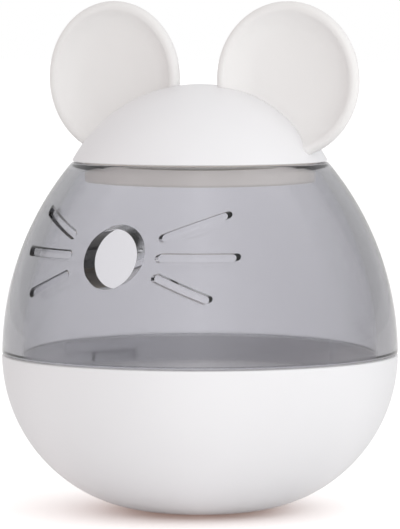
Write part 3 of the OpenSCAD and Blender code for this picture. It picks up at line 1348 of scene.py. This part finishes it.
@dataclass
class Ear:
    """Round dished ear of even thickness, with a barbed tongue that snaps into the dome."""

    side: Side
    dome: LidDome
    diameter: float = 39.0
    span: float = 50.0
    rise: float = 1.3
    thickness: float = 2.8
    bend_r: float = 12.0
    wall_deg: float = 50.0
    floor_r: float = 70.0
    splay_deg: float = 2.5
    turn_steps: int = 240
    pad_t: float = 1.6
    tongue_w: float = 10.0
    tongue_t: float = 2.0
    tongue_root: float = 0.5
    barb: float = 0.8
    barb_h: float = 2.4
    barb_gap: float = 0.1
    slit_w: float = 2.2
    seat_gap: float = 0.02

    @property
    def rim_r(self) -> float:
        """Radius of the middle of the rim's rounding."""
        return (self.diameter - self.thickness) / 2

    @property
    def bend_place(self) -> Pair:
        """Centre of the bend between the floor and the rim, as a radius and a depth."""
        lean = math.radians(self.wall_deg)
        return self.rim_r - self.bend_r * math.sin(lean), self.bend_r * math.cos(lean)

    @property
    def floor_deg(self) -> float:
        """Slope where the floor of the dish runs into the bend."""
        return math.degrees(math.asin(self.bend_place[0] / (self.floor_r - self.bend_r)))

    @property
    def floor_centre(self) -> float:
        """Depth of the centre of the floor's curve, in front of the rim."""
        return self.bend_place[1] + (self.floor_r - self.bend_r) * math.cos(math.radians(self.floor_deg))

    @property
    def reach(self) -> float:
        """Distance from the ear's middle to the dome, along the tongue."""
        return math.hypot(self.span / 2, self.dome.top_z + self.rise - self.dome.ball_z) - self.dome.ball_r

    @property
    def pad_end(self) -> float:
        """Distance from the ear's middle to the end of the dome's pad."""
        return self.reach + self.dome.wall + self.pad_t

    def place(self) -> Matrix:
        """Find the ear's frame.

        Returns:
            A frame with X outwards, Y up and Z to the front.
        """
        hand = Matrix.Scale(self.side.value, 4, (1, 0, 0))
        middle = Matrix.Translation((self.span / 2, 0, self.dome.top_z + self.rise))
        turn = Matrix.Rotation(math.radians(self.splay_deg), 4, "Z") @ Matrix.Rotation(math.pi / 2, 4, "X")
        return hand @ middle @ turn

    def tongue_place(self) -> Matrix:
        """Find the tongue's frame.

        Returns:
            A frame with Z along the tongue, X through its thickness and Y across it.
        """
        fall = self.dome.ball_z - self.dome.top_z - self.rise
        aim = Matrix.Rotation(math.atan2(fall, -self.span / 2), 4, "Z")
        depth = self.floor_centre - math.sqrt(self.floor_r**2 - self.reach**2)
        return self.place() @ Matrix.Translation((0, 0, depth)) @ aim @ Matrix.Rotation(math.pi / 2, 4, "Y")

    def section(self) -> Section:
        """Draw the dish's half section.

        Returns:
            The section, out along its front, round the rim and back along its back.
        """
        half = self.thickness / 2
        floor = (0.0, self.floor_centre)
        bend, lean = self.bend_place, self.wall_deg - 90
        start = self.floor_deg - 90
        return (
            Section()
            .arc(floor, self.floor_r - half, -90, start)
            .arc(bend, self.bend_r - half, start, lean)
            .arc((self.rim_r, 0.0), half, lean + 180, lean)
            .arc(bend, self.bend_r + half, lean, start)
            .arc(floor, self.floor_r + half, start, -90)
        )

    def tongue(self) -> BMesh:
        """Make the tongue: two prongs with barbs that catch behind the pad.

        Returns:
            A closed mesh.
        """
        half = self.tongue_w / 2
        slit = self.slit_w / 2
        catch = self.pad_end + self.barb_gap
        prong = [
            (half, self.reach - self.tongue_root),
            (half, catch),
            (half + self.barb, catch),
            (half - self.barb, catch + self.barb_h),
            (slit, catch + self.barb_h),
            (slit, catch - self.pad_t),
        ]
        outline = prong + [(-across, along) for across, along in reversed(prong)]
        bm = bmesh.new()
        bm.faces.new([bm.verts.new((across, along, 0)) for across, along in outline])
        lay = Matrix(((0, 0, 1, -self.tongue_t / 2), (1, 0, 0, 0), (0, 1, 0, 0), (0, 0, 0, 1)))
        return raised(bm, self.tongue_place() @ lay, self.tongue_t)

    def build(self, finishes: Finishes) -> Object:
        """Make the ear, cut to the dome that it sits on.

        Args:
            finishes: The feeder's materials.

        Returns:
            The ear.
        """
        bm = self.section().turned(self.turn_steps)
        bmesh.ops.transform(bm, matrix=self.place(), verts=bm.verts)
        bmesh.ops.recalc_face_normals(bm, faces=bm.faces)
        name = self.side.name.lower()
        ear = make_object(f"ear_{name}", bm)
        combine(ear, [self.dome.ball(-self.seat_gap)], Join.CUT)
        combine(ear, [self.tongue()], Join.ADD)
        dress(ear, finishes.ear)
        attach(ear, "lid")
        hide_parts(f"{name}_ear")
        return ear


@dataclass
class Screws:
    """Three self-tapping screws with pan heads and cross recesses, in a ring."""

    node: str
    body: str
    radius: float
    heads_up: bool
    diameter: float = 2.8
    point_h: float = 1.2
    head_d: float = 5.4
    head_h: float = 1.8
    head_side: float = 0.7
    head_sides: int = 48
    pitch: float = 1.1
    thread: float = 0.3
    thread_sunk: float = 0.05
    thread_from: float = 1.0
    thread_half: float = 0.3
    thread_steps: int = 24
    bare_shank: float = 2.2
    cross_w: float = 0.75
    cross_l: float = 3.0
    cross_depth: float = 1.0
    cross_over: float = 0.5

    @property
    def core_r(self) -> float:
        """Radius of the shank under the thread."""
        return self.diameter / 2 - self.thread

    def shank(self) -> float:
        """Length under the head, from the CAD node."""
        low, high = node_box(self.node)
        return high.z - low.z - self.head_h

    def places(self) -> list[Matrix]:
        """List the seats of the heads.

        Returns:
            A matrix for each seat, with its Z axis along the shank.
        """
        low, high = node_box(self.node)
        if self.heads_up:
            flip = Matrix.Rotation(math.pi, 4, "X")
            return [place @ flip for place in screw_ring(self.radius, high.z - self.head_h)]
        return screw_ring(self.radius, low.z + self.head_h)

    def section(self) -> Section:
        """Draw a screw's half section.

        Returns:
            The section, from the top of its head to its point.
        """
        crown = self.head_h - self.head_side
        head_r = self.head_d / 2
        ball_r = (head_r**2 + crown**2) / (2 * crown)
        centre = (0.0, ball_r - self.head_h)
        edge = math.degrees(math.atan2(-self.head_side - centre[1], head_r))
        length = self.shank()
        return (
            Section()
            .arc(centre, ball_r, -90, edge)
            .through((head_r, 0), (self.core_r, 0), (self.core_r, length - self.point_h), (0, length))
        )

    def ridge(self) -> BMesh:
        """Make the thread, a ridge that winds up the shank.

        Returns:
            A closed mesh.
        """
        root_r = self.core_r - self.thread_sunk
        turns = (self.shank() - self.bare_shank) / self.pitch
        corners = [
            (root_r, self.thread_from - self.thread_half),
            (self.diameter / 2, self.thread_from),
            (root_r, self.thread_from + self.thread_half),
        ]
        steps = round(self.thread_steps * turns)
        return swept(corners, 2 * math.pi * turns, steps, rise=self.pitch * turns)

    def build(self, finishes: Finishes) -> Object:
        """Make the three screws as one piece.

        Args:
            finishes: The feeder's materials.

        Returns:
            The screws.
        """
        head = make_object("scratch", self.section().turned(self.head_sides))
        foot = Matrix.Translation((0, 0, -self.head_h - self.cross_over))
        depth = self.cross_depth + self.cross_over
        first = bar(foot, self.cross_l, self.cross_w, depth)
        second = bar(foot, self.cross_w, self.cross_l, depth)
        combine(head, [joined(first, second, Join.ADD)], Join.CUT)
        screw = gather([as_bmesh(head), self.ridge()])
        copies = []
        for place in self.places():
            copy = screw.copy()
            bmesh.ops.transform(copy, matrix=place, verts=copy.verts)
            copies.append(copy)
        screw.free()
        screws = make_object(self.node.replace("_screws", "_fixings"), gather(copies))
        dress(screws, finishes.zinc)
        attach(screws, self.body)
        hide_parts(self.node)
        return screws


@dataclass
class LidPlug:
    """White disc under the dome, with a flange on the neck and a grooved skirt in it."""

    dome: LidDome
    flange_r: float
    low_z: float
    top_z: float
    flange_lip: float = 0.6
    neck_gap: float = 0.3
    skirt_t: float = 2.4
    lead_in: float = 0.5
    seal_d: float = 1.6
    seal_gap: float = 0.1
    seal_drop: float = 1.5
    edge_round: float = 0.25
    hole_d: float = 3.4
    hole_sides: int = 32

    @classmethod
    def from_frame(cls, dome: LidDome) -> "LidPlug":
        """Take the plug's outside sizes from its CAD node, and the rest from the dome above it."""
        low, high = node_box("lid_plug")
        return cls(dome=dome, flange_r=high.x, low_z=low.z, top_z=high.z)

    @property
    def flange_z(self) -> float:
        """Height of the underside of the flange."""
        return self.top_z - self.dome.flange_t

    @property
    def neck_r(self) -> float:
        """Radius of the neck that the skirt plugs."""
        return self.flange_r - self.flange_lip

    @property
    def skirt_r(self) -> float:
        """Radius of the skirt."""
        return self.neck_r - self.neck_gap

    @property
    def seal_place(self) -> Pair:
        """Radius and height of the middle of the sealing ring."""
        return self.neck_r - self.seal_gap - self.seal_d / 2, self.flange_z - self.seal_drop

    def section(self) -> Section:
        """Draw the plug's half section.

        Returns:
            The section, from the middle of the disc's top round to its underside.
        """
        inner_r = self.skirt_r - self.skirt_t
        seal_r, seal_z = self.seal_place
        groove_r = seal_r - self.seal_d / 2 - self.seal_gap / 2
        groove_half = self.seal_d / 2 + self.seal_gap
        return Section().through(
            (0, self.top_z),
            (self.flange_r, self.top_z),
            (self.flange_r, self.flange_z),
            (self.skirt_r, self.flange_z),
            (self.skirt_r, seal_z + groove_half),
            (groove_r, seal_z + groove_half),
            (groove_r, seal_z - groove_half),
            (self.skirt_r, seal_z - groove_half),
            (self.skirt_r, self.low_z + self.lead_in),
            (self.skirt_r - self.lead_in, self.low_z),
            (inner_r, self.low_z),
            (inner_r, self.flange_z),
            (0, self.flange_z),
        )

    def build(self, finishes: Finishes) -> Object:
        """Make the plug, with its holes for the screws.

        Args:
            finishes: The feeder's materials.

        Returns:
            The plug.
        """
        bm = self.section().turned()
        round_rings(
            bm,
            self.edge_round,
            (self.flange_r, self.top_z),
            (self.flange_r, self.flange_z),
            (self.skirt_r, self.low_z + self.lead_in),
            (self.skirt_r - self.skirt_t, self.low_z),
        )
        plug = make_object("plug", bm)
        holes = [
            post(place, self.hole_d, self.dome.flange_t + 2 * OVERCUT, self.hole_sides)
            for place in screw_ring(self.dome.post_r, self.flange_z - OVERCUT)
        ]
        combine(plug, holes, Join.CUT)
        dress(plug, finishes.plug)
        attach(plug, "lid")
        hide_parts("lid_plug")
        return plug


@dataclass
class LidSeal:
    """Round sealing ring in the groove of the plug's skirt."""

    plug: LidPlug
    sides: int = 24
    turn_steps: int = 240

    def build(self, finishes: Finishes) -> Object:
        """Make the sealing ring.

        Args:
            finishes: The feeder's materials.

        Returns:
            The ring.
        """
        bm = bmesh.new()
        bmesh.ops.create_circle(bm, radius=self.plug.seal_d / 2, segments=self.sides)
        bmesh.ops.rotate(bm, verts=bm.verts, matrix=Matrix.Rotation(math.pi / 2, 3, "X"))
        radius, height = self.plug.seal_place
        bmesh.ops.translate(bm, verts=bm.verts, vec=(radius, 0, height))
        spin_round(bm, everything(bm), self.turn_steps)
        seal = make_object("seal", bm)
        dress(seal, finishes.silicone)
        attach(seal, "lid")
        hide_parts("lid_seal")
        return seal


@dataclass(frozen=True)
class Viewpoint:
    """Where the portrait is taken from: a long lens just above the lid, to the right of the outlet."""

    azimuth_deg: float = 29.2
    reach: float = 1024.0
    height: float = 130.6
    aim_z: float = 62.45
    focal_px: float = 4066.0
    picture_px: tuple[int, int] = (400, 529)

    def axes(self) -> tuple[Vector, Vector, Vector]:
        """Find the directions of the picture.

        Returns:
            Level directions to the picture's right and towards the camera, and up.
        """
        angle = math.radians(self.azimuth_deg)
        right = Vector((math.cos(angle), math.sin(angle), 0))
        toward = Vector((math.sin(angle), -math.cos(angle), 0))
        return right, toward, Vector((0, 0, 1))

    def make_camera(self) -> Object:
        """Add the camera and make it the scene's own.

        Returns:
            The camera.
        """
        data = bpy.data.cameras.new("portrait")
        data.sensor_width = 36.0
        data.lens = data.sensor_width * self.focal_px / max(self.picture_px)
        data.clip_end = 50.0
        camera = bpy.data.objects.new("portrait", data)
        _, toward, up = self.axes()
        eye = toward * self.reach + up * self.height
        aim = up * self.aim_z
        camera.location = eye * MM
        camera.rotation_euler = (aim - eye).to_track_quat("-Z", "Y").to_euler()
        bpy.context.scene.collection.objects.link(camera)
        bpy.context.scene.camera = camera
        return camera


@dataclass(frozen=True)
class Lamp:
    """Square soft box: its place to the right, towards the camera and up, its width and its power."""

    name: str
    place: tuple[float, float, float]
    width: float
    watts: float

    def build(self, viewpoint: Viewpoint, aim: Vector) -> Object:
        """Add the lamp, turned to what it lights.

        Args:
            viewpoint: Gives the directions that the place is measured along.
            aim: Point that the lamp faces.

        Returns:
            The lamp.
        """
        data = bpy.data.lights.new(self.name, "AREA")
        data.shape = "SQUARE"
        data.size = self.width * MM
        data.energy = self.watts
        lamp = bpy.data.objects.new(self.name, data)
        right, toward, up = viewpoint.axes()
        spot = aim + right * self.place[0] + toward * self.place[1] + up * self.place[2]
        lamp.location = spot * MM
        lamp.rotation_euler = (aim - spot).to_track_quat("-Z", "Y").to_euler()
        lamp.visible_glossy = False
        lamp.visible_transmission = False
        bpy.context.scene.collection.objects.link(lamp)
        return lamp


@dataclass(frozen=True)
class Studio:
    """White sweep, soft boxes and an even surround."""

    viewpoint: Viewpoint
    floor_mm: float = 6000.0
    floor_colour: str = "FAFAFA"
    open_colour: str = "C0C0C0"
    # The floor's glow fades from the open colour to a warm grey by ambient occlusion near the feeder: a
    # painted contact shadow.
    painted_shadow_colour: str = "7A6259"
    painted_shadow_reach: float = 60.0
    painted_shadow_samples: int = 16
    left_colour: str = "FFF2F0"
    ambient: float = 0.56
    overhead: float = 0.22
    bounce: float = 0.16
    gap_loss: float = 0.36
    lamps: tuple[Lamp, ...] = (
        Lamp("key", (680.0, 500.0, 350.0), 700.0, 1.7),
        Lamp("front", (60.0, 1050.0, 260.0), 700.0, 2.2),
    )

    @staticmethod
    def seen(tree: NodeTree) -> NodeSocket:
        """Tell the rays that see the surround from those that only carry light.

        Args:
            tree: Node tree of the floor or the surround.

        Returns:
            A factor that is 1 for rays that see it straight, by gloss or through a clear wall.
        """
        path = add_node(tree, "ShaderNodeLightPath").outputs
        factor = path["Is Camera Ray"]
        for rays in ("Is Glossy Ray", "Is Transmission Ray"):
            either = {0: factor, 1: path[rays]}
            factor = add_node(tree, "ShaderNodeMath", either, operation="MAXIMUM").outputs[0]
        return factor

    def dimming(self, tree: NodeTree, way: NodeSocket) -> NodeSocket:
        """Give the share of light that is lost between four white panels, which stand round the feeder.

        Args:
            tree: Node tree of the floor or the surround.
            way: Direction from the feeder.

        Returns:
            A factor that is 0 in the middle of a panel, largest in a corner, and 0 for the camera's own rays.
        """
        add = partial(add_node, tree)
        level = add("ShaderNodeVectorMath", {0: way, 1: (1, 1, 0)}, operation="MULTIPLY")
        unit = add("ShaderNodeVectorMath", {0: level.outputs[0]}, operation="NORMALIZE").outputs[0]
        across, toward = (
            add("ShaderNodeVectorMath", {0: unit, 1: axis}, operation="DOT_PRODUCT").outputs["Value"]
            for axis in self.viewpoint.axes()[:2]
        )
        product = add("ShaderNodeMath", {0: across, 1: toward}, operation="MULTIPLY")
        corner = add("ShaderNodeMath", {0: product.outputs[0]}, operation="ABSOLUTE")
        share = add("ShaderNodeMath", {0: corner.outputs[0], 1: 2 * self.gap_loss}, operation="MULTIPLY")
        camera = add("ShaderNodeLightPath").outputs["Is Camera Ray"]
        bent = add("ShaderNodeMath", {0: 1.0, 1: camera}, operation="SUBTRACT")
        lost = add("ShaderNodeMath", {0: share.outputs[0], 1: bent.outputs[0]}, operation="MULTIPLY")
        return lost.outputs[0]

    def make_floor(self) -> Object:
        """Add the floor: lit paper plus a glow that is white in the open and a painted warm grey shadow near
        the feeder.

        Returns:
            The floor.
        """
        bm = bmesh.new()
        bmesh.ops.create_grid(bm, x_segments=1, y_segments=1, size=self.floor_mm)
        floor = make_object("floor", bm)
        material, tree = blank_material("white_sweep")
        add = partial(add_node, tree)
        paper = add("ShaderNodeBsdfDiffuse", {"Color": linear(self.floor_colour)}).outputs[0]
        # Painted shadow: ambient occlusion mixes the glow down to a warm grey where the feeder is near.
        reach = {"Distance": self.painted_shadow_reach * MM}
        clear = add("ShaderNodeAmbientOcclusion", reach, samples=self.painted_shadow_samples).outputs["AO"]
        shades = {"Factor": clear, 6: linear(self.painted_shadow_colour), 7: linear(self.open_colour)}
        fill = add("ShaderNodeMix", shades, data_type="RGBA")
        glow_with_painted_shadow = add("ShaderNodeEmission", {"Color": fill.outputs[2], "Strength": 1.0})
        both = add("ShaderNodeAddShader", {0: paper, 1: glow_with_painted_shadow.outputs[0]})
        place = add("ShaderNodeTexCoord").outputs["Object"]
        unlit = add("ShaderNodeEmission", {"Strength": 0.0})
        dimmed = {0: self.dimming(tree, place), 1: both.outputs[0], 2: unlit.outputs[0]}
        panels = add("ShaderNodeMixShader", dimmed)
        lit = add("ShaderNodeMath", {0: self.seen(tree), 1: self.bounce}, operation="MAXIMUM")
        mix = add("ShaderNodeMixShader", {0: lit.outputs[0], 1: paper, 2: panels.outputs[0]})
        add("ShaderNodeOutputMaterial", {"Surface": mix.outputs[0]})
        floor.data.materials.append(material)
        return floor

    def make_world(self) -> None:
        """Light the scene, most from overhead and warmer from the left, and white where it is seen."""
        world = bpy.data.worlds.new("surround")
        bpy.context.scene.world = world
        world.use_nodes = True
        tree = world.node_tree
        tree.nodes.clear()
        add = partial(add_node, tree)
        right, _, up = self.viewpoint.axes()
        aim = add("ShaderNodeTexCoord").outputs["Generated"]
        height = add("ShaderNodeVectorMath", {0: aim, 1: up}, operation="DOT_PRODUCT").outputs["Value"]
        fall = {0: height, 1: self.overhead, 2: self.ambient}
        strength = add("ShaderNodeMath", fall, operation="MULTIPLY_ADD").outputs[0]
        left = add("ShaderNodeVectorMath", {0: aim, 1: -right}, operation="DOT_PRODUCT").outputs["Value"]
        shades = {"Factor": left, 6: (1, 1, 1, 1), 7: linear(self.left_colour)}
        colour = add("ShaderNodeMix", shades, data_type="RGBA").outputs[2]
        soft = add("ShaderNodeBackground", {"Color": colour, "Strength": strength})
        level = add("ShaderNodeMath", {0: 1.0, 1: self.dimming(tree, aim)}, operation="SUBTRACT").outputs[0]
        white = add("ShaderNodeBackground", {"Color": (1, 1, 1, 1), "Strength": level})
        mix = add("ShaderNodeMixShader", {0: self.seen(tree), 1: soft.outputs[0], 2: white.outputs[0]})
        add("ShaderNodeOutputWorld", {"Surface": mix.outputs[0]})

    def build(self, aim: Vector) -> None:
        """Set up the floor, the surround and the lamps.

        Args:
            aim: Point that the lamps face.
        """
        self.make_floor()
        self.make_world()
        for lamp in self.lamps:
            lamp.build(self.viewpoint, aim)


def dress_nodes(nodes: dict[str, Object], finishes: Finishes) -> None:
    """Give the CAD nodes that stay their finish.

    Args:
        nodes: The frame's nodes by name.
        finishes: The feeder's materials.
    """
    kept = {
        "hopper_floor": finishes.white,
        "counterweight": finishes.iron,
    }
    for name, material in kept.items():
        for slot in nodes[name].material_slots:
            slot.material = material
        log.info("%s keeps its solid, in %s", name, material.name)


def main() -> None:
    """Load the frame, make the camera and the studio, and build and dress each piece."""
    logging.basicConfig(level=logging.INFO, format="%(name)s: %(message)s")
    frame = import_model()
    bpy.context.scene.view_settings.view_transform = "Standard"
    viewpoint = Viewpoint()
    viewpoint.make_camera()
    Studio(viewpoint).build(Vector((0, 0, viewpoint.aim_z)))
    finishes = Finishes.make()
    bowl = BowlBase.from_frame()
    dome = LidDome.from_frame()
    plug = LidPlug.from_frame(dome)
    makers = (
        bowl,
        Hopper.from_frame(),
        dome,
        plug,
        LidSeal(plug),
        Ear(Side.LEFT, dome),
        Ear(Side.RIGHT, dome),
        Screws("weight_screws", "base", bowl.boss_pcd / 2, heads_up=True),
        Screws("plug_screws", "lid", dome.post_r, heads_up=False),
    )
    for maker in makers:
        piece = maker.build(finishes)
        log.info("%s has %d faces", piece.name, len(piece.data.polygons))
    dress_nodes(frame["nodes"], finishes)


if __name__ == "__main__":
    main()
